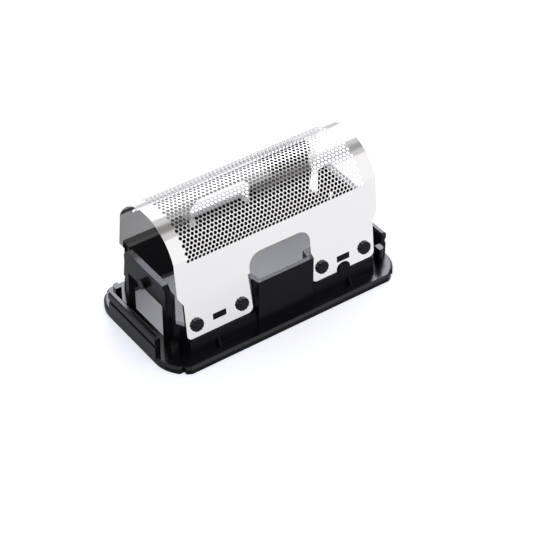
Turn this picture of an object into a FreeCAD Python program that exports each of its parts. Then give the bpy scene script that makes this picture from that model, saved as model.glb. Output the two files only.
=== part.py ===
import FreeCAD, Part
import math
import os
import Sketcher

# Shaver foil head: a black moulded frame that clips over a shaver's drive end, and a thin
# perforated metal foil arched over it and staked to its two long walls.
# Lengths in mm, angles in degrees. X runs along the foil, the front faces -Y, Z is up.
# The origin is the middle of the underside.

doc = FreeCAD.newDocument("ShaverFoilHead")

# Driving dimensions
SIZES = [
    ("base_length", 59.8),
    ("base_width", 32.0),
    ("base_thick", 1.6),
    ("base_corner_radius", 7.7),
    ("base_corner_start", 9.0),
    ("base_bevel", 0.5),
    ("base_notch_size", 1.0),
    ("base_notch_reach", 15.0),
    ("mouth_half_width", 12.9),
    ("mouth_lead_height", 2.5),
    ("foil_length", 50.6),
    ("foil_thick", 0.1),
    ("foil_top", 31.3),
    ("arch_radius", 10.9),
    ("arch_half_angle", 67.3),
    ("arch_strips", 31),
    ("leg_lean", 6.8),
    ("leg_bottom", 5.6),
    ("leg_length", 48.0),
    ("leg_notch_low", 14.4),
    ("leg_notch_high", 16.6),
    ("leg_corner_round", 1.2),
    ("window_width", 15.4),
    ("window_top", 19.4),
    ("window_round", 3.0),
    ("hole_across", 0.62),
    ("hole_pitch", 1.9),
    ("hole_end_margin", 3.4),
    ("wall_thick", 1.2),
    ("wall_top", 15.4),
    ("wall_half_length", 23.6),
    ("wall_shoulder", 0.35),
    ("shoulder_gap", 0.2),
    ("seat_gap", 0.02),
    ("corner_top", 8.8),
    ("corner_inset", 9.0),
    ("corner_thick", 0.8),
    ("post_plane", 26.2),
    ("post_thick", 1.4),
    ("post_half_width", 7.8),
    ("post_top", 17.5),
    ("post_bevel", 1.0),
    ("post_window_half", 6.4),
    ("post_window_top", 12.0),
    ("flank_top", 16.3),
    ("flank_drop", 1.3),
    ("peg_radius", 1.1),
    ("peg_length", 1.0),
    ("peg_height", 13.8),
    ("rim_thick", 1.3),
    ("rim_half_width", 9.0),
    ("rim_top", 6.9),
    ("rim_bevel", 0.3),
    ("rim_groove_depth", 0.25),
    ("rim_groove_height", 1.0),
    ("rim_groove_level", 4.2),
    ("catch_start_x", 25.9),
    ("catch_start_y", 10.1),
    ("catch_length", 1.4),
    ("catch_width", 1.8),
    ("catch_round", 0.8),
    ("catch_top", 5.7),
    ("grip_half_width", 7.0),
    ("grip_top", 13.6),
    ("grip_face", 13.4),
    ("grip_thick", 1.0),
    ("grip_clearance", 0.15),
    ("stud_inner", 10.26),
    ("stud_pitch", 11.21),
    ("stud_height", 8.6),
    ("stud_radius", 0.95),
    ("stud_clearance", 0.1),
    ("head_radius", 1.55),
    ("head_thick", 0.45),
    ("head_tooth_depth", 0.16),
    ("head_gap", 0.03),
    ("tab_length", 2.9),
    ("tab_height", 1.1),
    ("tab_clearance", 0.2),
    ("lug_place", 15.8),
    ("lug_radius", 1.55),
    ("lug_height", 5.7),
    ("lug_clearance", 0.25),
    ("gusset_place", 16.9),
    ("gusset_thick", 0.6),
    ("gusset_depth", 0.9),
    ("gusset_top", 4.0),
]

# Sizes that follow from the driving ones
DERIVED = [
    ("strip_reach", "1 / cos(Sizes.arch_half_angle / Sizes.arch_strips)"),
    ("crease_y", "Sizes.arch_radius * strip_reach * sin(Sizes.arch_half_angle)"),
    ("crease_drop", "Sizes.arch_radius * (1 - strip_reach * cos(Sizes.arch_half_angle))"),
    ("crease_z", "Sizes.foil_top - crease_drop"),
    ("lean_slope", "tan(Sizes.leg_lean)"),
    ("leg_foot", "crease_y + (crease_z - Sizes.leg_bottom) * lean_slope"),
    ("seat_foot", "leg_foot + Sizes.leg_bottom * lean_slope - Sizes.foil_thick / cos(Sizes.leg_lean)"),
    ("face_foot", "seat_foot - Sizes.seat_gap"),
    ("shoulder_top", "Sizes.leg_bottom - Sizes.shoulder_gap"),
    ("shoulder_foot", "face_foot + Sizes.wall_shoulder"),
    ("inner_foot", "face_foot - Sizes.wall_thick"),
    ("head_seat", "seat_foot - Sizes.stud_height * lean_slope + Sizes.foil_thick / cos(Sizes.leg_lean)"),
]

SIDES = (-1, 1)
HEAD_TEETH = 12
HOLE_SIDES = 6
PRISM_DEPTH_FACTOR = 6
NEAR = 0.001


def make_sheet(name, rows, as_formula):
    sheet = doc.addObject("Spreadsheet::Sheet", name)
    for number, (alias, value) in enumerate(rows, start=1):
        sheet.set(f"A{number}", alias)
        sheet.set(f"B{number}", f"={value}" if as_formula else str(value))
        sheet.setAlias(f"B{number}", alias)
    doc.recompute()
    return sheet


sizes = make_sheet("Sizes", SIZES, False)
derived = make_sheet("Derived", DERIVED, True)


def size(alias):
    return float(sizes.get(alias))


def new_body(name, label):
    body = doc.addObject("PartDesign::Body", name)
    body.Label = label
    return body


def origin_plane(body, role):
    return next(item for item in body.Origin.OriginFeatures if item.Role == role)


def new_sketch(body, role, name, offset=None):
    sketch = body.newObject("Sketcher::SketchObject", name)
    sketch.AttachmentSupport = [(origin_plane(body, role), "")]
    sketch.MapMode = "FlatFace"
    if offset:
        sketch.setExpression("AttachmentOffset.Base.z", offset)
    return sketch


def bind_point(sketch, geometry, place, across, up):
    """Hold one point of the sketch at two expressions, measured from the sketch's origin."""
    for kind, expression in (("DistanceX", across), ("DistanceY", up)):
        value = float(sketch.evalExpression(expression))
        row = sketch.addConstraint(Sketcher.Constraint(kind, -1, 1, geometry, place, value))
        sketch.setExpression(f"Constraints[{row}]", expression)


def sketch_point(sketch, across, up):
    return FreeCAD.Vector(float(sketch.evalExpression(across)), float(sketch.evalExpression(up)), 0)


def add_outline(sketch, corners, arcs=None):
    """Closed outline through corners, each a pair of expressions.

    The edge after a corner is straight, or an arc where arcs gives the corner's number with
    the arc's own middle point and its radius, as expressions.
    """
    arcs = arcs or {}
    points = [sketch_point(sketch, across, up) for across, up in corners]
    first = sketch.GeometryCount
    count = len(points)
    ends = []
    for number, start in enumerate(points):
        end = points[(number + 1) % count]
        if number not in arcs:
            sketch.addGeometry(Part.LineSegment(start, end), False)
            ends.append((1, 2))
            continue
        across, up, radius = arcs[number]
        middle = sketch_point(sketch, across, up)
        sketch.addGeometry(Part.Arc(start, middle, end), False)
        # An arc in a sketch always runs anticlockwise
        turns_left = (middle - start).cross(end - middle).z > 0
        ends.append((1, 2) if turns_left else (2, 1))
    for number, (across, up) in enumerate(corners):
        following = (number + 1) % count
        sketch.addConstraint(Sketcher.Constraint(
            "Coincident", first + number, ends[number][1], first + following, ends[following][0],
        ))
        bind_point(sketch, first + number, ends[number][0], across, up)
    for number, (across, up, radius) in arcs.items():
        value = float(sketch.evalExpression(radius))
        row = sketch.addConstraint(Sketcher.Constraint("Radius", first + number, value))
        sketch.setExpression(f"Constraints[{row}]", radius)


def add_rectangle(sketch, left, right, low, high):
    add_outline(sketch, [(left, low), (right, low), (right, high), (left, high)])


def add_circle(sketch, across, up, radius):
    centre = FreeCAD.Vector(float(sketch.evalExpression(across)), float(sketch.evalExpression(up)), 0)
    value = float(sketch.evalExpression(radius))
    circle = sketch.addGeometry(Part.Circle(centre, FreeCAD.Vector(0, 0, 1), value), False)
    bind_point(sketch, circle, 3, across, up)
    row = sketch.addConstraint(Sketcher.Constraint("Radius", circle, value))
    sketch.setExpression(f"Constraints[{row}]", radius)


def pad(body, sketch, name, length, both_ways=False, reverse=False):
    feature = body.newObject("PartDesign::Pad", name)
    feature.Profile = sketch
    feature.setExpression("Length", length)
    feature.Midplane = both_ways
    feature.Reversed = reverse
    doc.recompute()
    return feature


def pocket(body, sketch, name, length=None, both_ways=False, reverse=False):
    """Cut the sketch out of the body, all the way through where no length is given."""
    feature = body.newObject("PartDesign::Pocket", name)
    feature.Profile = sketch
    if length:
        feature.setExpression("Length", length)
    else:
        feature.Type = "ThroughAll"
    feature.Midplane = both_ways
    feature.Reversed = reverse
    before = body.Shape.Volume
    doc.recompute()
    if body.Shape.Volume >= before:
        raise RuntimeError(f"{name} cuts nothing")
    return feature


def bevel(body, name, width, chosen):
    """Take the edges of the body's last feature that the test picks off at half a right angle."""
    base = body.Tip
    names = [f"Edge{number}" for number, edge in enumerate(base.Shape.Edges, start=1) if chosen(edge)]
    if not names:
        raise RuntimeError(f"{name} finds no edge")
    feature = body.newObject("PartDesign::Chamfer", name)
    feature.Base = (base, names)
    feature.setExpression("Size", width)
    doc.recompute()
    return feature


# Base plate: a flat flange with rounded ends and a wide mouth for the shaver to enter
frame = new_body("Frame", "frame")

plate = new_sketch(frame, "XY_Plane", "PlateOutline")
turn_x = "Sizes.base_length / 2 - Sizes.base_corner_radius"
turn_drop = "(Sizes.base_width / 2 - Sizes.base_corner_start)"
meet_x = f"({turn_x} + sqrt((Sizes.base_corner_radius)^2 - {turn_drop}^2))"
middle_x = f"({turn_x} + Sizes.base_corner_radius * cos(30))"
middle_y = "(Sizes.base_corner_start + Sizes.base_corner_radius * sin(30))"
end_x = "Sizes.base_length / 2"
side_y = "Sizes.base_width / 2"
turn_y = "Sizes.base_corner_start"
add_outline(
    plate,
    [
        (end_x, f"-{turn_y}"), (end_x, turn_y),
        (meet_x, side_y), (f"-{meet_x}", side_y),
        (f"-{end_x}", turn_y), (f"-{end_x}", f"-{turn_y}"),
        (f"-{meet_x}", f"-{side_y}"), (meet_x, f"-{side_y}"),
    ],
    {
        1: (middle_x, middle_y, "Sizes.base_corner_radius"),
        3: (f"-{middle_x}", middle_y, "Sizes.base_corner_radius"),
        5: (f"-{middle_x}", f"-{middle_y}", "Sizes.base_corner_radius"),
        7: (middle_x, f"-{middle_y}", "Sizes.base_corner_radius"),
    },
)
pad(frame, plate, "Plate", "Sizes.base_thick")
plate_top = size("base_thick")
bevel(
    frame, "PlateBevel", "Sizes.base_bevel",
    lambda edge: abs(edge.BoundBox.ZMin - plate_top) < NEAR and abs(edge.BoundBox.ZMax - plate_top) < NEAR,
)

# Small square notches in the plate's corner curves
notch_depth_x = (
    "(Sizes.base_length / 2 - Sizes.base_corner_radius - Sizes.base_notch_size / 2"
    " + sqrt((Sizes.base_corner_radius)^2 - (Sizes.base_notch_reach - Sizes.base_corner_start)^2))"
)
notches = new_sketch(frame, "XY_Plane", "NotchOutline")
for side_x in SIDES:
    for side_y in SIDES:
        add_rectangle(
            notches,
            f"{side_x} * {notch_depth_x}", f"{side_x} * Sizes.base_length / 2",
            f"{side_y} * (Sizes.base_notch_reach - Sizes.base_notch_size / 2)",
            f"{side_y} * (Sizes.base_notch_reach + Sizes.base_notch_size / 2)",
        )
pocket(frame, notches, "Notches", both_ways=True)

# Long walls: they lean in with the foil's legs, stand proud of the foil below its edge and
# are highest at both ends, beside the grips
def wall_face(level):
    return f"(Derived.face_foot - ({level}) * Derived.lean_slope)"


def shoulder_face(level):
    return f"(Derived.shoulder_foot - ({level}) * Derived.lean_slope)"


def inner_face(level):
    return f"(Derived.inner_foot - ({level}) * Derived.lean_slope)"


walls = new_sketch(frame, "YZ_Plane", "WallSection")
for side in SIDES:
    add_outline(walls, [
        (f"{side} * {inner_face('0')}", "0"),
        (f"{side} * {shoulder_face('0')}", "0"),
        (f"{side} * {shoulder_face('Derived.shoulder_top')}", "Derived.shoulder_top"),
        (f"{side} * {wall_face('Derived.shoulder_top')}", "Derived.shoulder_top"),
        (f"{side} * {wall_face('Sizes.wall_top')}", "Sizes.wall_top"),
        (f"{side} * {inner_face('Sizes.wall_top')}", "Sizes.wall_top"),
    ])
pad(frame, walls, "LongWalls", "2 * Sizes.wall_half_length", both_ways=True)

# Each long wall opens behind its grip, and more widely above it, where the foil has its window
grip_root = "(Sizes.window_width / 2 - Sizes.grip_clearance)"
gap_half = "(Sizes.window_width / 2 + Sizes.wall_thick)"
gap_top = "Sizes.wall_top + Sizes.wall_thick"
gaps = new_sketch(frame, "XZ_Plane", "WallGaps")
add_outline(gaps, [
    (f"-({grip_root} - Sizes.grip_thick)", "Sizes.base_thick"),
    (f"{grip_root} - Sizes.grip_thick", "Sizes.base_thick"),
    (f"{grip_root} - Sizes.grip_thick", "Sizes.grip_top"),
    (gap_half, "Sizes.grip_top"),
    (gap_half, gap_top),
    (f"-{gap_half}", gap_top),
    (f"-{gap_half}", "Sizes.grip_top"),
    (f"-({grip_root} - Sizes.grip_thick)", "Sizes.grip_top"),
])
pocket(frame, gaps, "WallGapsCut", both_ways=True)

# Corner walls: from the ends of the long walls round to the end posts
def corner_walls(name, near_x, near_y, far_x, far_y, thick, top):
    sketch = new_sketch(frame, "XY_Plane", f"{name}Outline")
    for side_x in SIDES:
        for side_y in SIDES:
            add_outline(sketch, [
                (f"{side_x} * ({near_x})", f"{side_y} * ({near_y})"),
                (f"{side_x} * ({far_x})", f"{side_y} * ({far_y})"),
                (f"{side_x} * ({far_x} - {thick})", f"{side_y} * ({far_y} - {thick} / 2)"),
                (f"{side_x} * ({near_x} - {thick})", f"{side_y} * ({near_y} - {thick} / 2)"),
            ])
    pad(frame, sketch, name, top)


flank_x = "Sizes.post_plane - Sizes.post_bevel"
corner_walls(
    "Flanks",
    flank_x, "Sizes.corner_inset",
    "Sizes.post_plane", "Sizes.post_half_width - Sizes.post_thick / 2",
    "Sizes.corner_thick", "Sizes.flank_top",
)
corner_walls(
    "CornerWalls",
    "Sizes.wall_half_length", wall_face("Sizes.corner_top"),
    flank_x, "Sizes.corner_inset",
    "Sizes.corner_thick", "Sizes.corner_top",
)

# The flanks' tops fall away from the lintels
falls = new_sketch(frame, "YZ_Plane", "FlankFallSection")
for side in SIDES:
    add_outline(falls, [
        (f"{side} * Sizes.post_half_width", "Sizes.flank_top"),
        (f"{side} * Sizes.corner_inset", "Sizes.flank_top - Sizes.flank_drop"),
        (f"{side} * (Sizes.corner_inset + Sizes.corner_thick)", "Sizes.flank_top - Sizes.flank_drop"),
        (f"{side} * (Sizes.corner_inset + Sizes.corner_thick)", "Sizes.flank_top"),
    ])
pocket(frame, falls, "FlankFalls", both_ways=True)

# End posts with bevelled shoulders, a lintel between them and a window below it
for side, name in zip(SIDES, ("Left", "Right")):
    level = "-Sizes.post_plane" if side < 0 else "Sizes.post_plane - Sizes.post_thick"
    portal = new_sketch(frame, "YZ_Plane", f"Portal{name}Outline", level)
    add_outline(portal, [
        ("-Sizes.post_half_width", "0"),
        ("Sizes.post_half_width", "0"),
        ("Sizes.post_half_width", "Sizes.flank_top"),
        ("Sizes.post_half_width - Sizes.post_bevel", "Sizes.post_top"),
        ("-(Sizes.post_half_width - Sizes.post_bevel)", "Sizes.post_top"),
        ("-Sizes.post_half_width", "Sizes.flank_top"),
    ])
    pad(frame, portal, f"Portal{name}", "Sizes.post_thick")

portal_windows = new_sketch(frame, "YZ_Plane", "PortalWindowOutline")
add_rectangle(
    portal_windows,
    "-Sizes.post_window_half", "Sizes.post_window_half",
    "Sizes.base_thick", "Sizes.post_window_top",
)
pocket(frame, portal_windows, "PortalWindows", both_ways=True)

# Short pegs on the outside of the lintels
for side, name in zip(SIDES, ("Left", "Right")):
    peg = new_sketch(frame, "YZ_Plane", f"Peg{name}Outline", f"{side} * Sizes.post_plane")
    add_circle(peg, "0", "Sizes.peg_height", "Sizes.peg_radius")
    pad(frame, peg, f"Peg{name}", "Sizes.peg_length", reverse=side < 0)

# Raised rims along both ends of the plate, each with a shallow groove in its outer face
rims = new_sketch(frame, "XY_Plane", "RimOutline")
for side in SIDES:
    add_rectangle(
        rims,
        f"{side} * (Sizes.base_length / 2 - Sizes.rim_thick)", f"{side} * Sizes.base_length / 2",
        "-Sizes.rim_half_width", "Sizes.rim_half_width",
    )
pad(frame, rims, "Rims", "Sizes.rim_top")
rim_level = size("rim_top")
rim_inside = size("base_length") / 2 - size("rim_thick")
bevel(
    frame, "RimBevel", "Sizes.rim_bevel",
    lambda edge: abs(edge.BoundBox.ZMin - rim_level) < NEAR and abs(edge.CenterOfMass.x) > rim_inside - NEAR,
)
grooves = new_sketch(frame, "XZ_Plane", "RimGrooveOutline")
for side in SIDES:
    add_rectangle(
        grooves,
        f"{side} * (Sizes.base_length / 2 - Sizes.rim_groove_depth)", f"{side} * Sizes.base_length / 2",
        "Sizes.rim_groove_level", "Sizes.rim_groove_level + Sizes.rim_groove_height",
    )
pocket(frame, grooves, "RimGrooves", both_ways=True)

# Catch blocks on the plate, outside the four corner walls, rounded like the plate's corners
catches = new_sketch(frame, "XY_Plane", "CatchOutline")
catch_end_x = "(Sizes.catch_start_x + Sizes.catch_length)"
catch_end_y = "(Sizes.catch_start_y + Sizes.catch_width)"
catch_middle = "Sizes.catch_round * (1 - cos(45))"
for side_x in SIDES:
    for side_y in SIDES:
        add_outline(
            catches,
            [
                (f"{side_x} * Sizes.catch_start_x", f"{side_y} * Sizes.catch_start_y"),
                (f"{side_x} * {catch_end_x}", f"{side_y} * Sizes.catch_start_y"),
                (f"{side_x} * {catch_end_x}", f"{side_y} * ({catch_end_y} - Sizes.catch_round)"),
                (f"{side_x} * ({catch_end_x} - Sizes.catch_round)", f"{side_y} * {catch_end_y}"),
                (f"{side_x} * Sizes.catch_start_x", f"{side_y} * {catch_end_y}"),
            ],
            {2: (
                f"{side_x} * ({catch_end_x} - {catch_middle})",
                f"{side_y} * ({catch_end_y} - {catch_middle})",
                "Sizes.catch_round",
            )},
        )
pad(frame, catches, "Catches", "Sizes.catch_top")

# Grips: upright panels in front of the leaning walls, joined to them by flared cheeks
grips = new_sketch(frame, "XY_Plane", "GripOutline")
for side in SIDES:
    root_y = f"{side} * {inner_face('Sizes.grip_top')}"
    flare_y = f"{side} * {wall_face('Sizes.grip_top')}"
    add_outline(grips, [
        (f"-{grip_root}", root_y),
        (f"-{grip_root}", flare_y),
        ("-Sizes.grip_half_width", f"{side} * Sizes.grip_face"),
        ("Sizes.grip_half_width", f"{side} * Sizes.grip_face"),
        (grip_root, flare_y),
        (grip_root, root_y),
        (f"{grip_root} - Sizes.grip_thick", root_y),
        ("Sizes.grip_half_width - Sizes.grip_thick", f"{side} * (Sizes.grip_face - Sizes.grip_thick)"),
        ("-(Sizes.grip_half_width - Sizes.grip_thick)", f"{side} * (Sizes.grip_face - Sizes.grip_thick)"),
        (f"-({grip_root} - Sizes.grip_thick)", root_y),
    ])
pad(frame, grips, "Grips", "Sizes.grip_top")

# Mouth: the opening in the underside, flared between the long walls
mouth_lead = new_sketch(frame, "YZ_Plane", "MouthLeadSection")
add_outline(mouth_lead, [
    ("-Sizes.mouth_half_width", "0"),
    ("Sizes.mouth_half_width", "0"),
    (inner_face("Sizes.mouth_lead_height"), "Sizes.mouth_lead_height"),
    (f"-{inner_face('Sizes.mouth_lead_height')}", "Sizes.mouth_lead_height"),
])
pocket(
    frame, mouth_lead, "MouthLead", "2 * (Sizes.wall_half_length - Sizes.wall_thick)", both_ways=True,
)
mouth = new_sketch(frame, "XY_Plane", "MouthOutline")
post_inside = "(Sizes.post_plane - Sizes.post_thick)"
bend_x = f"({flank_x} - Sizes.corner_thick)"
bend_y = "(Sizes.corner_inset - Sizes.corner_thick / 2)"
wall_x = "(Sizes.wall_half_length - Sizes.corner_thick)"
wall_y = f"({wall_face('Sizes.corner_top')} - Sizes.corner_thick / 2)"
quarter = [(post_inside, "Sizes.post_half_width"), (bend_x, bend_y), (wall_x, wall_y)]
across = [(f"-{x}", y) for x, y in reversed(quarter)]
below = [(x, f"-{y}") for x, y in reversed(quarter)]
far_below = [(f"-{x}", f"-{y}") for x, y in quarter]
add_outline(mouth, quarter + across + far_below + below)
pocket(frame, mouth, "Mouth", "2 * Sizes.base_thick", both_ways=True)

# Gussets between the plate and the foot of each long wall
for side, name in zip(SIDES, ("Left", "Right")):
    gusset = new_sketch(frame, "YZ_Plane", f"Gusset{name}Outline", f"{side} * Sizes.gusset_place")
    for facing in SIDES:
        add_outline(gusset, [
            (f"{facing} * {wall_face('Sizes.gusset_top')}", "Sizes.gusset_top"),
            (f"{facing} * {shoulder_face('Sizes.gusset_top')}", "Sizes.gusset_top"),
            (f"{facing} * ({shoulder_face('Sizes.base_thick')} + Sizes.gusset_depth)", "Sizes.base_thick"),
            (f"{facing} * {wall_face('Sizes.base_thick')}", "Sizes.base_thick"),
        ])
    pad(frame, gusset, f"Gusset{name}", "Sizes.gusset_thick", both_ways=True)


def leg_sketch(name, facing, lift):
    """Sketch on a leaning wall at the studs' height, raised off the foil's outer face."""
    sketch = frame.newObject("Sketcher::SketchObject", name)
    sketch.AttachmentSupport = [(origin_plane(frame, "XZ_Plane"), "")]
    sketch.MapMode = "FlatFace"
    tilt = FreeCAD.Rotation(FreeCAD.Vector(facing, 0, 0), size("leg_lean"))
    sketch.AttachmentOffset = FreeCAD.Placement(FreeCAD.Vector(0, 0, 0), tilt)
    sketch.setExpression("AttachmentOffset.Rotation.Angle", "Sizes.leg_lean")
    sketch.setExpression("AttachmentOffset.Base.y", "Sizes.stud_height")
    sketch.setExpression("AttachmentOffset.Base.z", f"{-facing} * (Derived.head_seat + {lift})")
    return sketch


def toothed_outline(place):
    """Corners round a stud's head, turn by turn on its full radius and in its notches."""
    corners = []
    for number in range(2 * HEAD_TEETH):
        turn = 180 / HEAD_TEETH * number
        reach = "Sizes.head_radius" if number % 2 == 0 else "(Sizes.head_radius - Sizes.head_tooth_depth)"
        corners.append((f"{place} + {reach} * cos({turn})", f"{reach} * sin({turn})"))
    return corners


stud_places = [
    f"{side} * (Sizes.stud_inner + {step} * Sizes.stud_pitch)" for side in SIDES for step in (0, 1)
]
tab_places = [f"{side} * (Sizes.stud_inner + Sizes.stud_pitch / 2)" for side in SIDES]
shank_length = "Sizes.foil_thick + Sizes.head_gap + Sizes.seat_gap + Sizes.wall_thick / 2"

for facing, name in zip(SIDES, ("Front", "Back")):
    # Shanks and tabs pass through the foil into the wall
    shanks = leg_sketch(f"{name}ShankOutline", facing, "Sizes.head_gap")
    for place in stud_places:
        add_circle(shanks, place, "0", "Sizes.stud_radius")
    for place in tab_places:
        add_rectangle(
            shanks,
            f"{place} - Sizes.tab_length / 2", f"{place} + Sizes.tab_length / 2",
            "-Sizes.tab_height / 2", "Sizes.tab_height / 2",
        )
    pad(frame, shanks, f"{name}Shanks", shank_length, reverse=facing < 0)

    # Staked heads hold the foil, with a notched edge
    heads = leg_sketch(f"{name}HeadOutline", facing, "Sizes.head_gap")
    for place in stud_places:
        add_outline(heads, toothed_outline(place))
    pad(frame, heads, f"{name}Heads", "Sizes.head_thick", reverse=facing > 0)

    # One locating lug a side keys into a notch in the foil's lower edge
    lug = leg_sketch(f"{name}LugOutline", facing, "Sizes.wall_shoulder")
    add_circle(
        lug,
        f"{-facing} * Sizes.lug_place", "(Sizes.lug_height - Sizes.stud_height) / cos(Sizes.leg_lean)",
        "Sizes.lug_radius",
    )
    pad(frame, lug, f"{name}Lug", "Sizes.wall_shoulder + Sizes.wall_thick / 2", reverse=facing < 0)

# Foil: one thin sheet, arched over the frame in narrow flat strips, one to each row of holes,
# with a straight leg down each long wall
blank = new_body("FoilBlank", "foil_blank")
arch_axis_z = "(Sizes.foil_top - Sizes.arch_radius)"
inner_radius = "(Sizes.arch_radius - Sizes.foil_thick)"


def strip_corners(radius):
    """Corners between the arch's strips from back to front, on a circle just outside the radius."""
    corners = []
    for number in range(strips + 1):
        turn = f"(Sizes.arch_half_angle * (2 * {number} / Sizes.arch_strips - 1))"
        reach = f"{radius} * Derived.strip_reach"
        corners.append((f"{reach} * sin({turn})", f"{arch_axis_z} + {reach} * cos({turn})"))
    return corners


strips = int(size("arch_strips"))
outer_foot = ("Derived.leg_foot", "Sizes.leg_bottom")
inner_foot = ("(Derived.leg_foot - Sizes.foil_thick / cos(Sizes.leg_lean))", "Sizes.leg_bottom")
section = new_sketch(blank, "YZ_Plane", "SheetSection")
add_outline(
    section,
    [(f"-{outer_foot[0]}", outer_foot[1])] + strip_corners("Sizes.arch_radius") + [outer_foot, inner_foot]
    + strip_corners(inner_radius)[::-1] + [(f"-{inner_foot[0]}", inner_foot[1])],
)
pad(blank, section, "Sheet", "Sizes.foil_length", both_ways=True)

# The legs are shorter than the arch, with a slanted step at each end and rounded feet
half_leg = "Sizes.leg_length / 2"
half_foil = "Sizes.foil_length / 2"
foot_round = "Sizes.leg_corner_round"
foot_middle = f"{foot_round} * (1 - cos(45))"
steps = new_sketch(blank, "XZ_Plane", "LegStepOutline")
for side in SIDES:
    add_outline(
        steps,
        [
            (f"{side} * ({half_leg} - {foot_round})", "0"),
            (f"{side} * {half_foil}", "0"),
            (f"{side} * {half_foil}", "Sizes.leg_notch_high"),
            (f"{side} * {half_leg}", "Sizes.leg_notch_low"),
            (f"{side} * {half_leg}", f"Sizes.leg_bottom + {foot_round}"),
            (f"{side} * ({half_leg} - {foot_round})", "Sizes.leg_bottom"),
        ],
        {4: (f"{side} * ({half_leg} - {foot_middle})", f"Sizes.leg_bottom + {foot_middle}", foot_round)},
    )
pocket(blank, steps, "LegSteps", both_ways=True)

# A window in each leg clears the grip, with rounded corners above and rounded feet below
half_window = "Sizes.window_width / 2"
window_round = "Sizes.window_round"
window_middle = f"{window_round} * (1 - cos(45))"
windows = new_sketch(blank, "XZ_Plane", "WindowOutline")
add_outline(
    windows,
    [
        (f"-({half_window} + {foot_round})", "0"),
        (f"{half_window} + {foot_round}", "0"),
        (f"{half_window} + {foot_round}", "Sizes.leg_bottom"),
        (half_window, f"Sizes.leg_bottom + {foot_round}"),
        (half_window, f"Sizes.window_top - {window_round}"),
        (f"{half_window} - {window_round}", "Sizes.window_top"),
        (f"-({half_window} - {window_round})", "Sizes.window_top"),
        (f"-{half_window}", f"Sizes.window_top - {window_round}"),
        (f"-{half_window}", f"Sizes.leg_bottom + {foot_round}"),
        (f"-({half_window} + {foot_round})", "Sizes.leg_bottom"),
    ],
    {
        2: (f"{half_window} + {foot_middle}", f"Sizes.leg_bottom + {foot_middle}", foot_round),
        4: (f"{half_window} - {window_middle}", f"Sizes.window_top - {window_middle}", window_round),
        6: (f"-({half_window} - {window_middle})", f"Sizes.window_top - {window_middle}", window_round),
        8: (f"-({half_window} + {foot_middle})", f"Sizes.leg_bottom + {foot_middle}", foot_round),
    },
)
pocket(blank, windows, "Windows", both_ways=True)

# Openings for the studs, the tabs and the lugs, cut straight through each leg
leg_openings = new_sketch(blank, "XZ_Plane", "LegOpeningOutline")
for place in stud_places:
    add_circle(leg_openings, place, "Sizes.stud_height", "Sizes.stud_radius + Sizes.stud_clearance")
half_slot = "(Sizes.tab_length / 2 + Sizes.tab_clearance)"
half_slot_height = "(Sizes.tab_height / 2 + Sizes.tab_clearance)"
for place in tab_places:
    add_rectangle(
        leg_openings,
        f"{place} - {half_slot}", f"{place} + {half_slot}",
        f"Sizes.stud_height - {half_slot_height}", f"Sizes.stud_height + {half_slot_height}",
    )
pocket(blank, leg_openings, "LegOpenings", both_ways=True)
for facing, name in zip(SIDES, ("Front", "Back")):
    notch = new_sketch(blank, "XZ_Plane", f"{name}LugNotchOutline")
    add_circle(
        notch, f"{-facing} * Sizes.lug_place", "Sizes.lug_height",
        "Sizes.lug_radius + Sizes.lug_clearance",
    )
    pocket(blank, notch, f"{name}LugNotch", reverse=facing < 0)


def perforation_prisms():
    """Six-sided prisms through every second strip of the arch, each row shifted half a pitch."""
    strip_angle = 2 * size("arch_half_angle") / strips
    half_span = size("foil_length") / 2 - size("hole_end_margin")
    depth = PRISM_DEPTH_FACTOR * size("foil_thick")
    prism = Part.Face(hexagon(size("hole_across"))).extrude(FreeCAD.Vector(0, 0, depth))
    prism.translate(FreeCAD.Vector(0, 0, size("foil_top") - (depth + size("foil_thick")) / 2))
    arch_axis = FreeCAD.Vector(0, 0, size("foil_top") - size("arch_radius"))
    prisms = []
    last_row = strips // 4
    for row in range(-last_row, last_row + 1):
        shifted = row % 2
        shift = shifted * size("hole_pitch") / 2
        columns = int((half_span - shift) / size("hole_pitch"))
        for column in range(-columns - shifted, columns + 1):
            copy = prism.copy()
            copy.rotate(arch_axis, FreeCAD.Vector(1, 0, 0), 2 * row * strip_angle)
            copy.translate(FreeCAD.Vector(column * size("hole_pitch") + shift, 0, 0))
            prisms.append(copy)
    return prisms


def hexagon(across):
    """Closed six-sided wire round the origin, with a corner towards +Y."""
    reach = across / math.sqrt(3)
    corners = []
    for number in range(HOLE_SIDES + 1):
        turn = math.radians(360 / HOLE_SIDES * (number + 1 / 2))
        corners.append(FreeCAD.Vector(reach * math.cos(turn), reach * math.sin(turn), 0))
    return Part.makePolygon(corners)


perforation = doc.addObject("Part::Feature", "Perforation")
prisms = perforation_prisms()
perforation.Shape = Part.makeCompound(prisms)
foil = doc.addObject("Part::Cut", "Foil")
foil.Label = "foil"
foil.Base = blank
foil.Tool = perforation
doc.recompute()

sub_parts = [frame, foil]


def check_document():
    for item in doc.Objects:
        if "Invalid" in item.State or "Error" in item.State:
            raise RuntimeError(f"{item.Name} failed: {item.State}")
    for item in sub_parts:
        if item.Shape.isNull() or not item.Shape.isValid():
            raise RuntimeError(f"{item.Label} has no valid shape")


check_document()
os.makedirs("parts", exist_ok=True)
for item in sub_parts:
    item.Shape.exportStep(f"parts/{item.Label}.step")
    box = item.Shape.BoundBox
    print(
        item.Label, len(item.Shape.Solids), "solid", round(item.Shape.Volume, 2), "mm3",
        [round(value, 2) for value in (box.XMin, box.XMax, box.YMin, box.YMax, box.ZMin, box.ZMax)],
    )
print(len(prisms), "openings in the arch")
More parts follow.
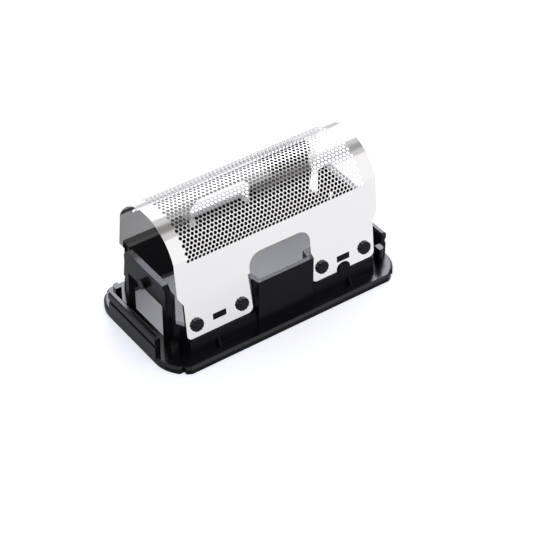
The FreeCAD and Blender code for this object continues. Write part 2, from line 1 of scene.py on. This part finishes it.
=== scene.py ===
import bpy
import math
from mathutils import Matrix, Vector


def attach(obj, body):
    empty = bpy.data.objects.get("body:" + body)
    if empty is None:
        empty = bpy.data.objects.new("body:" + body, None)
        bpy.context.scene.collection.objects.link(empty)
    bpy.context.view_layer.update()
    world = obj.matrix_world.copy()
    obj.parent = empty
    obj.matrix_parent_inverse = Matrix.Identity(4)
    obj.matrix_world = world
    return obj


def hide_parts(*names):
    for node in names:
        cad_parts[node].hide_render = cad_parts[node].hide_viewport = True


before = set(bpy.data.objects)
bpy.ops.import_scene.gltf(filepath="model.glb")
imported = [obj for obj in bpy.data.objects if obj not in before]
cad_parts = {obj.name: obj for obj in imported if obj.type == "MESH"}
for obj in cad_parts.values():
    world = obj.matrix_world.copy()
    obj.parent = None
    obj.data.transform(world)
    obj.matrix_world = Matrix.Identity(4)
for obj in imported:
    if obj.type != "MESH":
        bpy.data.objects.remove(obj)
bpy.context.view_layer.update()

# Shaver foil head: the moulded frame is carried over from the solids, and the foil is made
# again here with its whole perforation. Lengths in metres.

MM = 0.001
QUARTER_TURN = math.radians(90)

# Foil
ARCH_RADIUS = 10.9 * MM
ARCH_HALF_ANGLE = math.radians(67.3)
FOIL_TOP = 31.3 * MM
SHEET_THICKNESS = 0.06 * MM
FOIL_HALF_LENGTH = 25.3 * MM
CREASE_REACH = ARCH_RADIUS * math.sin(ARCH_HALF_ANGLE)
CREASE_HEIGHT = FOIL_TOP - ARCH_RADIUS * (1 - math.cos(ARCH_HALF_ANGLE))
LEG_LEAN = math.radians(6.8)
FOIL_SMOOTH_ANGLE = math.radians(8)

# Perforation: the arch has an odd number of rows, and each leg one more just below its crease
ARCH_ROWS = 31
HOLE_COLUMNS = 47
HOLE_PITCH = 0.95 * MM
HALF_FIELD = HOLE_COLUMNS * HOLE_PITCH / 2
ROW_PITCH = 2 * ARCH_HALF_ANGLE * ARCH_RADIUS / ARCH_ROWS
HOLE_RADIUS = 0.395 * MM
MERGE_DISTANCE = 0.001 * MM

# A cell's outer edge, anticlockwise, in quarters of the hole pitch and halves of the row pitch
CELL_EDGE = (
    (2, 0), (2, 1), (1, 1), (0, 1), (-1, 1), (-2, 1),
    (-2, 0), (-2, -1), (-1, -1), (0, -1), (1, -1), (2, -1),
)
HOLE_SIDES = len(CELL_EDGE)

# Size of the ring round the hole against it, before the ring's points go out to the cell's edge
FIRST_RING_SCALE = 1.1

# Staked heads, with rings of small raised dots on their faces
STUD_PLACES = (-21.47 * MM, -10.26 * MM, 10.26 * MM, 21.47 * MM)
STUD_HEIGHT = 8.65 * MM
HEAD_REACH = 12.45 * MM
DOT_RADIUS = 0.16 * MM
DOT_TOP_RADIUS = DOT_RADIUS / 2
DOT_HEIGHT = 0.12 * MM
DOT_SIDES = 10
DOT_SMOOTH_ANGLE = math.radians(60)

# Each ring's number of dots and its radius
DOT_RINGS = ((1, 0), (6, 0.5 * MM), (11, 1.0 * MM))

# Black moulding: its edges look rounded, and its coat grows as the surface turns upwards
MOULDED_COLOUR = (0.004, 0.004, 0.006, 1)
MOULDED_SHINE = 0.06
MOULDED_EDGE_RADIUS = 0.22 * MM
EDGE_SAMPLES = 6
COAT_START = 0.6
COAT_FULL = 0.95
COAT_ROUGHNESS = 0.2
COAT_IOR = 1.8

# Raised dots of the staked heads, which are pressed smooth and glossier than the moulding; their
# colour, lighter than the moulding's, is a painted glint
DOT_COLOUR_WITH_PAINTED_GLINT = (0.02, 0.02, 0.024, 1)
PRESSED_SHINE = 1

# Both plastics
PLASTIC_ROUGHNESS = 0.26
PLASTIC_GRAIN_STRENGTH = 0.1
PLASTIC_GRAIN_HEIGHT = 0.02 * MM

# Nickel
NICKEL_COLOUR = (0.75, 0.735, 0.71, 1)
NICKEL_ROUGHNESS = 0.09
NICKEL_GRAIN_STRENGTH = 0.03
NICKEL_GRAIN_HEIGHT = 0.005 * MM

# Clouds and grain of both finishes
CLOUD_DETAIL = 4
GRAIN_DETAIL = 2

# Floor, which lies a hair below the part; its glow is weaker inside the part's mouth, as painted shade
# there
FLOOR_SIZE = 4
FLOOR_DROP = 0.02 * MM
FLOOR_COLOUR = (0.68, 0.68, 0.68, 1)
FLOOR_ROUGHNESS = 0.8
FLOOR_SHINE = 0.1
FLOOR_LIFT = 0.54
PAINTED_SHADE_FLOOR_LIFT = 0.11
FLOOR_LIFT_COLOUR = (0.9, 0.94, 1, 1)
SHADE_HALF_LENGTH = 27 * MM
SHADE_HALF_WIDTH = 13 * MM

# Studio walls, and the dark gap between the lamps
WHITE = (1, 1, 1, 1)
STUDIO_TONE = (0.8, 0.8, 0.85, 1)
GAP_TONE = (0.34, 0.33, 0.32, 1)
GAP_TURN = math.radians(106)
GAP_RISE = math.radians(66)
GAP_INSIDE = math.radians(2)
GAP_OUTSIDE = math.radians(13)

# Camera, with its lens and sensor in millimetres
CAMERA_TARGET = Vector((-3.542, -12.466, 14.734)) * MM
CAMERA_TURN = math.radians(-35.474)
CAMERA_RISE = math.radians(39.808)
CAMERA_DISTANCE = 395.964 * MM
CAMERA_LENS = 128.33
CAMERA_SENSOR = 36
CAMERA_NEAR = 0.01


def deselect_all():
    if bpy.context.object and bpy.context.object.mode == "EDIT":
        bpy.ops.object.mode_set(mode="OBJECT")
    bpy.ops.object.select_all(action="DESELECT")


def pick(piece):
    """Makes the piece the only selected one."""
    deselect_all()
    piece.select_set(True)
    bpy.context.view_layer.objects.active = piece


def edit(piece):
    pick(piece)
    bpy.ops.object.mode_set(mode="EDIT")


def finish_edit():
    bpy.ops.object.mode_set(mode="OBJECT")


def apply_modifiers(piece):
    pick(piece)
    for modifier in list(piece.modifiers):
        bpy.ops.object.modifier_apply(modifier=modifier.name)


def settle(piece):
    """Puts the piece's place into its mesh, so that its object sits at the origin."""
    pick(piece)
    bpy.ops.object.transform_apply(location=True, rotation=True, scale=True)


def turn_about_x(piece, angle):
    pick(piece)
    piece.rotation_euler = (angle, 0, 0)
    settle(piece)


def join(pieces):
    deselect_all()
    for piece in pieces:
        piece.select_set(True)
    bpy.context.view_layer.objects.active = pieces[0]
    bpy.ops.object.join()
    return pieces[0]


def merge_doubles(piece):
    edit(piece)
    bpy.ops.mesh.select_all(action="SELECT")
    bpy.ops.mesh.remove_doubles(threshold=MERGE_DISTANCE)
    finish_edit()


def point_outwards(piece):
    edit(piece)
    bpy.ops.mesh.select_all(action="SELECT")
    bpy.ops.mesh.normals_make_consistent(inside=False)
    finish_edit()


def array_copies(piece, count, step):
    modifier = piece.modifiers.new("Repeat", "ARRAY")
    modifier.count = count
    modifier.use_relative_offset = False
    modifier.use_constant_offset = True
    modifier.constant_offset_displace = step
    apply_modifiers(piece)


def hole_cell(name, centre):
    """Flat cell with a round hole, whose edge has points that the cells round it share.

    The next row's cells are half a pitch along, so the edge has points at quarter pitches.
    """
    bpy.ops.mesh.primitive_circle_add(
        vertices=HOLE_SIDES, radius=HOLE_RADIUS, fill_type="NOTHING", location=(0, 0, 0),
    )
    cell = bpy.context.object
    cell.name = name
    edit(cell)
    bpy.ops.mesh.select_all(action="SELECT")
    bpy.ops.mesh.extrude_edges_move()
    bpy.ops.transform.resize(value=(FIRST_RING_SCALE, FIRST_RING_SCALE, FIRST_RING_SCALE))
    finish_edit()
    outer = sorted(cell.data.vertices, key=lambda vertex: -vertex.co.length)[:HOLE_SIDES]
    for vertex in outer:
        turn = math.atan2(vertex.co.y, vertex.co.x) % (2 * math.pi)
        across, up = CELL_EDGE[round(turn / (2 * math.pi) * HOLE_SIDES) % HOLE_SIDES]
        vertex.co = Vector((across * HOLE_PITCH / 4, up * ROW_PITCH / 2, 0))
    cell.location = centre
    settle(cell)
    return cell


def plain_half_cell(name, centre):
    """Flat cell without a hole, half a pitch long, which closes the end of a short row."""
    bpy.ops.mesh.primitive_grid_add(x_subdivisions=2, y_subdivisions=2, size=1, location=(0, 0, 0))
    cell = bpy.context.object
    cell.name = name
    cell.scale = (HOLE_PITCH / 2, ROW_PITCH, 1)
    cell.location = centre
    settle(cell)
    return cell


def long_row(name, place):
    """Row with the full number of holes, its middle at the given place across the sheet."""
    row = hole_cell(name, (-HALF_FIELD + HOLE_PITCH / 2, place, 0))
    array_copies(row, HOLE_COLUMNS, (HOLE_PITCH, 0, 0))
    return row


def short_row(name, place):
    """Row with one hole less, half a pitch along, and half a plain cell at both ends."""
    row = hole_cell(name, (-HALF_FIELD + HOLE_PITCH, place, 0))
    array_copies(row, HOLE_COLUMNS - 1, (HOLE_PITCH, 0, 0))
    ends = [
        plain_half_cell("row_end", (side * (HALF_FIELD - HOLE_PITCH / 4), place, 0)) for side in (-1, 1)
    ]
    return join([row] + ends)


def add_borders(sheet):
    """Plain borders from the ends of the rows to the ends of the foil."""
    for side in (-1, 1):
        edit(sheet)
        bpy.ops.mesh.select_all(action="DESELECT")
        finish_edit()
        for edge in sheet.data.edges:
            edge.select = all(
                abs(sheet.data.vertices[number].co.x - side * HALF_FIELD) < MERGE_DISTANCE
                for number in edge.vertices
            )
        edit(sheet)
        bpy.ops.mesh.select_mode(type="EDGE")
        bpy.ops.mesh.extrude_edges_move(
            TRANSFORM_OT_translate={"value": (side * (FOIL_HALF_LENGTH - HALF_FIELD), 0, 0)}
        )
        finish_edit()


def perforated_arch():
    """Long and short rows by turns, joined while flat and then bent to the arch."""
    first = -(ARCH_ROWS - 1) / 2 * ROW_PITCH
    short = short_row("short_rows", first)
    array_copies(short, (ARCH_ROWS + 1) // 2, (0, 2 * ROW_PITCH, 0))
    long = long_row("long_rows", first + ROW_PITCH)
    array_copies(long, (ARCH_ROWS - 1) // 2, (0, 2 * ROW_PITCH, 0))
    arch = join([short, long])
    merge_doubles(arch)
    add_borders(arch)

    # Bent with its middle row uppermost
    turn_about_x(arch, QUARTER_TURN)
    bend = arch.modifiers.new("Arch", "SIMPLE_DEFORM")
    bend.deform_method = "BEND"
    bend.deform_axis = "X"
    bend.angle = 2 * ARCH_HALF_ANGLE
    apply_modifiers(arch)
    turn_about_x(arch, -QUARTER_TURN)
    arch.location.z = FOIL_TOP
    settle(arch)
    return arch


def crease_row(side):
    """The row of holes just below a crease, which leans with the leg."""
    row = long_row("crease_row", side * ROW_PITCH / 2)
    merge_doubles(row)
    add_borders(row)
    turn_about_x(row, -side * (QUARTER_TURN - LEG_LEAN))
    row.location = (0, side * CREASE_REACH, CREASE_HEIGHT)
    settle(row)
    return row


def foil_legs():
    """The two legs, taken from the solid foil below the creases' rows of holes."""
    legs = bpy.data.objects.new("foil_legs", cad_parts["foil"].data.copy())
    bpy.context.scene.collection.objects.link(legs)
    pick(legs)
    bpy.ops.mesh.customdata_custom_splitnormals_clear()
    merge_doubles(legs)
    edit(legs)
    bpy.ops.mesh.select_all(action="SELECT")
    bpy.ops.mesh.bisect(
        plane_co=(0, 0, CREASE_HEIGHT - ROW_PITCH * math.cos(LEG_LEAN)), plane_no=(0, 0, 1),
        use_fill=True, clear_outer=True,
    )
    finish_edit()
    legs.data.materials.clear()
    return legs


def whole_foil():
    sheet = join([perforated_arch(), crease_row(-1), crease_row(1)])
    merge_doubles(sheet)
    point_outwards(sheet)
    thick = sheet.modifiers.new("Thickness", "SOLIDIFY")
    thick.thickness = SHEET_THICKNESS
    thick.offset = -1
    thick.use_even_offset = True
    apply_modifiers(sheet)
    foil = join([sheet, foil_legs()])
    foil.name = "foil_sheet"
    pick(foil)
    bpy.ops.object.shade_smooth_by_angle(angle=FOIL_SMOOTH_ANGLE)
    return foil


def dotted_face(name):
    """Dots for one staked head, in rings on a flat face that looks up, each half sunk in it."""
    dots = []
    for count, radius in DOT_RINGS:
        for number in range(count):
            turn = 2 * math.pi * number / count
            bpy.ops.mesh.primitive_cone_add(
                vertices=DOT_SIDES, radius1=DOT_RADIUS, radius2=DOT_TOP_RADIUS, depth=2 * DOT_HEIGHT,
                location=(radius * math.cos(turn), radius * math.sin(turn), 0),
            )
            dots.append(bpy.context.object)
    face = join(dots)
    face.name = name
    settle(face)
    return face


def head_dots():
    faces = []
    for side in (-1, 1):
        for place in STUD_PLACES:
            face = dotted_face("head_face")
            turn_about_x(face, -side * (QUARTER_TURN - LEG_LEAN))
            face.location = (place, side * HEAD_REACH, STUD_HEIGHT)
            settle(face)
            faces.append(face)
    dots = join(faces)
    dots.name = "head_dots"
    pick(dots)
    bpy.ops.object.shade_smooth_by_angle(angle=DOT_SMOOTH_ANGLE)
    return dots


# Materials
def new_material(name):
    material = bpy.data.materials.new(name)
    material.use_nodes = True
    return material, material.node_tree.nodes, material.node_tree.links


def finish_group(name, cloud_scale, grain_scale, stretch, colour_change, roughness_change):
    """Shared surface effect: clouds that change colour and roughness, and a fine grain's height."""
    group = bpy.data.node_groups.new(name, "ShaderNodeTree")
    sockets = group.interface
    sockets.new_socket("Color", in_out="INPUT", socket_type="NodeSocketColor")
    sockets.new_socket("Roughness", in_out="INPUT", socket_type="NodeSocketFloat")
    sockets.new_socket("Color", in_out="OUTPUT", socket_type="NodeSocketColor")
    sockets.new_socket("Roughness", in_out="OUTPUT", socket_type="NodeSocketFloat")
    sockets.new_socket("Height", in_out="OUTPUT", socket_type="NodeSocketFloat")
    nodes, links = group.nodes, group.links
    source = nodes.new("NodeGroupInput")
    result = nodes.new("NodeGroupOutput")
    place = nodes.new("ShaderNodeTexCoord")
    mapping = nodes.new("ShaderNodeMapping")
    mapping.inputs["Scale"].default_value = stretch
    links.new(place.outputs["Object"], mapping.inputs["Vector"])
    cloud = nodes.new("ShaderNodeTexNoise")
    cloud.inputs["Scale"].default_value = cloud_scale
    cloud.inputs["Detail"].default_value = CLOUD_DETAIL
    links.new(mapping.outputs["Vector"], cloud.inputs["Vector"])
    grain = nodes.new("ShaderNodeTexNoise")
    grain.inputs["Scale"].default_value = grain_scale
    grain.inputs["Detail"].default_value = GRAIN_DETAIL
    links.new(mapping.outputs["Vector"], grain.inputs["Vector"])
    shade = nodes.new("ShaderNodeMapRange")
    shade.inputs["To Min"].default_value = 1 - colour_change
    shade.inputs["To Max"].default_value = 1 + colour_change
    links.new(cloud.outputs["Fac"], shade.inputs["Value"])
    tint = nodes.new("ShaderNodeVectorMath")
    tint.operation = "SCALE"
    links.new(source.outputs["Color"], tint.inputs[0])
    links.new(shade.outputs["Result"], tint.inputs["Scale"])
    links.new(tint.outputs["Vector"], result.inputs["Color"])
    rough = nodes.new("ShaderNodeMapRange")
    rough.inputs["To Min"].default_value = -roughness_change
    rough.inputs["To Max"].default_value = roughness_change
    links.new(cloud.outputs["Fac"], rough.inputs["Value"])
    total = nodes.new("ShaderNodeMath")
    total.operation = "ADD"
    links.new(source.outputs["Roughness"], total.inputs[0])
    links.new(rough.outputs["Result"], total.inputs[1])
    links.new(total.outputs["Value"], result.inputs["Roughness"])
    links.new(grain.outputs["Fac"], result.inputs["Height"])
    return group


def finished_material(name, group, colour, roughness, grain_strength, grain_height, edge_radius=0):
    """Material with a shared effect, whose edges look rounded where an edge radius is given."""
    material, nodes, links = new_material(name)
    shader = nodes["Principled BSDF"]
    effect = nodes.new("ShaderNodeGroup")
    effect.node_tree = group
    effect.inputs["Color"].default_value = colour
    effect.inputs["Roughness"].default_value = roughness
    links.new(effect.outputs["Color"], shader.inputs["Base Color"])
    links.new(effect.outputs["Roughness"], shader.inputs["Roughness"])
    bump = nodes.new("ShaderNodeBump")
    bump.inputs["Strength"].default_value = grain_strength
    bump.inputs["Distance"].default_value = grain_height
    links.new(effect.outputs["Height"], bump.inputs["Height"])
    links.new(bump.outputs["Normal"], shader.inputs["Normal"])
    if edge_radius:
        rounding = nodes.new("ShaderNodeBevel")
        rounding.samples = EDGE_SAMPLES
        rounding.inputs["Radius"].default_value = edge_radius
        links.new(rounding.outputs["Normal"], bump.inputs["Normal"])
    return material, shader


def polish_upper_faces(material, shader):
    """The moulding's upper faces are glossier than its sides."""
    nodes, links = material.node_tree.nodes, material.node_tree.links
    surface = nodes.new("ShaderNodeNewGeometry")
    split = nodes.new("ShaderNodeSeparateXYZ")
    links.new(surface.outputs["Normal"], split.inputs["Vector"])
    polish = nodes.new("ShaderNodeMapRange")
    polish.inputs["From Min"].default_value = COAT_START
    polish.inputs["From Max"].default_value = COAT_FULL
    links.new(split.outputs["Z"], polish.inputs["Value"])
    links.new(polish.outputs["Result"], shader.inputs["Coat Weight"])


def dress(piece, material):
    piece.data.materials.clear()
    piece.data.materials.append(material)


moulded_finish = finish_group(
    "moulded_finish", cloud_scale=160, grain_scale=6000, stretch=(1, 1, 1),
    colour_change=0.25, roughness_change=0.08,
)
rolled_finish = finish_group(
    "rolled_finish", cloud_scale=120, grain_scale=4000, stretch=(0.35, 1, 1),
    colour_change=0.03, roughness_change=0.03,
)

black_plastic, black_shader = finished_material(
    "black_plastic", moulded_finish, MOULDED_COLOUR, PLASTIC_ROUGHNESS,
    PLASTIC_GRAIN_STRENGTH, PLASTIC_GRAIN_HEIGHT, MOULDED_EDGE_RADIUS,
)
black_shader.inputs["Specular IOR Level"].default_value = MOULDED_SHINE
black_shader.inputs["Coat Roughness"].default_value = COAT_ROUGHNESS
black_shader.inputs["Coat IOR"].default_value = COAT_IOR
polish_upper_faces(black_plastic, black_shader)

# The dots' material: its higher shine is real, and its lighter colour is a painted glint
dot_plastic_with_painted_glint, pressed_shader = finished_material(
    "dot_plastic_with_painted_glint", moulded_finish, DOT_COLOUR_WITH_PAINTED_GLINT, PLASTIC_ROUGHNESS,
    PLASTIC_GRAIN_STRENGTH, PLASTIC_GRAIN_HEIGHT,
)
pressed_shader.inputs["Specular IOR Level"].default_value = PRESSED_SHINE

nickel, nickel_shader = finished_material(
    "nickel", rolled_finish, NICKEL_COLOUR, NICKEL_ROUGHNESS,
    NICKEL_GRAIN_STRENGTH, NICKEL_GRAIN_HEIGHT,
)
nickel_shader.inputs["Metallic"].default_value = 1

# The carried-over frame
dress(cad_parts["frame"], black_plastic)

# The foil
foil = whole_foil()
dress(foil, nickel)
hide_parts("foil")
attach(foil, "root")

# The dots on the staked heads
dots = head_dots()
dress(dots, dot_plastic_with_painted_glint)
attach(dots, "root")


# Floor, light and camera
def outside_shade(nodes, links):
    """1 outside the box of floor that the part's mouth covers, and 0 inside it."""
    place = nodes.new("ShaderNodeTexCoord")
    split = nodes.new("ShaderNodeSeparateXYZ")
    links.new(place.outputs["Object"], split.inputs["Vector"])
    outside = []
    for axis, half in (("X", SHADE_HALF_LENGTH), ("Y", SHADE_HALF_WIDTH)):
        reach = nodes.new("ShaderNodeMath")
        reach.operation = "ABSOLUTE"
        links.new(split.outputs[axis], reach.inputs[0])
        beyond = nodes.new("ShaderNodeMath")
        beyond.operation = "GREATER_THAN"
        beyond.inputs[1].default_value = half
        links.new(reach.outputs["Value"], beyond.inputs[0])
        outside.append(beyond)
    either = nodes.new("ShaderNodeMath")
    either.operation = "MAXIMUM"
    links.new(outside[0].outputs["Value"], either.inputs[0])
    links.new(outside[1].outputs["Value"], either.inputs[1])
    return either.outputs["Value"]


def floor_material():
    """White floor, brighter to the eye and in reflections, that keeps the part's shadow, and whose
    weaker glow inside the part's mouth is painted shade.
    """
    material, nodes, links = new_material("pale_floor")
    shader = nodes["Principled BSDF"]
    shader.inputs["Base Color"].default_value = FLOOR_COLOUR
    shader.inputs["Roughness"].default_value = FLOOR_ROUGHNESS
    shader.inputs["Specular IOR Level"].default_value = FLOOR_SHINE
    lift = nodes.new("ShaderNodeEmission")
    lift.inputs["Color"].default_value = FLOOR_LIFT_COLOUR
    # Weaker glow inside the box under the part's mouth: painted shade on the floor there
    strength = nodes.new("ShaderNodeMapRange")
    strength.inputs["To Min"].default_value = PAINTED_SHADE_FLOOR_LIFT
    strength.inputs["To Max"].default_value = FLOOR_LIFT
    links.new(outside_shade(nodes, links), strength.inputs["Value"])
    links.new(strength.outputs["Result"], lift.inputs["Strength"])
    lifted = nodes.new("ShaderNodeAddShader")
    links.new(shader.outputs["BSDF"], lifted.inputs[0])
    links.new(lift.outputs["Emission"], lifted.inputs[1])
    ray = nodes.new("ShaderNodeLightPath")
    eye_or_gloss = nodes.new("ShaderNodeMath")
    eye_or_gloss.operation = "MAXIMUM"
    links.new(ray.outputs["Is Camera Ray"], eye_or_gloss.inputs[0])
    links.new(ray.outputs["Is Glossy Ray"], eye_or_gloss.inputs[1])
    seen = nodes.new("ShaderNodeMath")
    seen.operation = "MAXIMUM"
    links.new(eye_or_gloss.outputs["Value"], seen.inputs[0])
    links.new(ray.outputs["Is Transmission Ray"], seen.inputs[1])
    choose = nodes.new("ShaderNodeMixShader")
    links.new(seen.outputs["Value"], choose.inputs["Fac"])
    links.new(shader.outputs["BSDF"], choose.inputs[1])
    links.new(lifted.outputs["Shader"], choose.inputs[2])
    links.new(choose.outputs["Shader"], nodes["Material Output"].inputs["Surface"])
    return material


def direction(turn, rise):
    """Unit vector at an angle round from +Y towards +X and one above the floor."""
    level = math.cos(rise)
    return Vector((math.sin(turn) * level, math.cos(turn) * level, math.sin(rise)))


def studio_world():
    """Pale studio, white to the eye, with a dark gap overhead between the lamps."""
    world = bpy.data.worlds.new("studio")
    bpy.context.scene.world = world
    world.use_nodes = True
    nodes, links = world.node_tree.nodes, world.node_tree.links
    around = nodes["Background"]
    place = nodes.new("ShaderNodeTexCoord")
    nearness = nodes.new("ShaderNodeVectorMath")
    nearness.operation = "DOT_PRODUCT"
    nearness.inputs[1].default_value = direction(GAP_TURN, GAP_RISE)
    links.new(place.outputs["Generated"], nearness.inputs[0])
    gap = nodes.new("ShaderNodeMapRange")
    gap.interpolation_type = "SMOOTHSTEP"
    gap.inputs["From Min"].default_value = math.cos(GAP_OUTSIDE)
    gap.inputs["From Max"].default_value = math.cos(GAP_INSIDE)
    links.new(nearness.outputs["Value"], gap.inputs["Value"])
    tone = nodes.new("ShaderNodeMix")
    tone.data_type = "RGBA"
    tone.inputs["A"].default_value = STUDIO_TONE
    tone.inputs["B"].default_value = GAP_TONE
    links.new(gap.outputs["Result"], tone.inputs["Factor"])
    links.new(tone.outputs["Result"], around.inputs["Color"])
    white = nodes.new("ShaderNodeBackground")
    white.inputs["Color"].default_value = WHITE
    ray = nodes.new("ShaderNodeLightPath")
    choose = nodes.new("ShaderNodeMixShader")
    links.new(ray.outputs["Is Camera Ray"], choose.inputs["Fac"])
    links.new(around.outputs["Background"], choose.inputs[1])
    links.new(white.outputs["Background"], choose.inputs[2])
    links.new(choose.outputs["Shader"], nodes["World Output"].inputs["Surface"])


def softbox(name, turn, rise, distance, size, brightness, colour):
    """Rectangular lamp aimed at the part's middle, its turn and rise in degrees."""
    data = bpy.data.lights.new(name, "AREA")
    data.shape = "RECTANGLE"
    data.size, data.size_y = size
    data.energy = brightness * math.pi * size[0] * size[1]
    data.color = colour
    lamp = bpy.data.objects.new(name, data)
    bpy.context.scene.collection.objects.link(lamp)
    away = direction(math.radians(turn), math.radians(rise))
    middle = Vector((0, 0, FOIL_TOP / 2))
    lamp.location = middle + distance * away
    lamp.rotation_euler = (-away).to_track_quat("-Z", "Y").to_euler()


deselect_all()
bpy.ops.mesh.primitive_plane_add(size=FLOOR_SIZE, location=(0, 0, -FLOOR_DROP))
floor = bpy.context.object
floor.name = "floor"
settle(floor)
dress(floor, floor_material())
studio_world()
softbox(
    "back_light", turn=36, rise=38, distance=0.85, size=(0.7, 0.74), brightness=0.6,
    colour=(1, 1, 1),
)
softbox(
    "back_core", turn=35, rise=40, distance=0.8, size=(0.4, 0.32), brightness=2.45,
    colour=(0.8, 0.8, 1),
)
softbox(
    "front_light", turn=148, rise=26, distance=0.8, size=(0.84, 0.76), brightness=0.44,
    colour=(1, 1, 0.98),
)

camera_data = bpy.data.cameras.new("camera")
camera_data.lens = CAMERA_LENS
camera_data.sensor_width = CAMERA_SENSOR
camera_data.clip_start = CAMERA_NEAR
camera = bpy.data.objects.new("camera", camera_data)
bpy.context.scene.collection.objects.link(camera)
camera.location = CAMERA_TARGET + CAMERA_DISTANCE * direction(math.pi - CAMERA_TURN, CAMERA_RISE)
camera.rotation_euler = (QUARTER_TURN - CAMERA_RISE, 0, CAMERA_TURN)
bpy.context.scene.camera = camera

bpy.context.scene.view_settings.view_transform = "Standard"
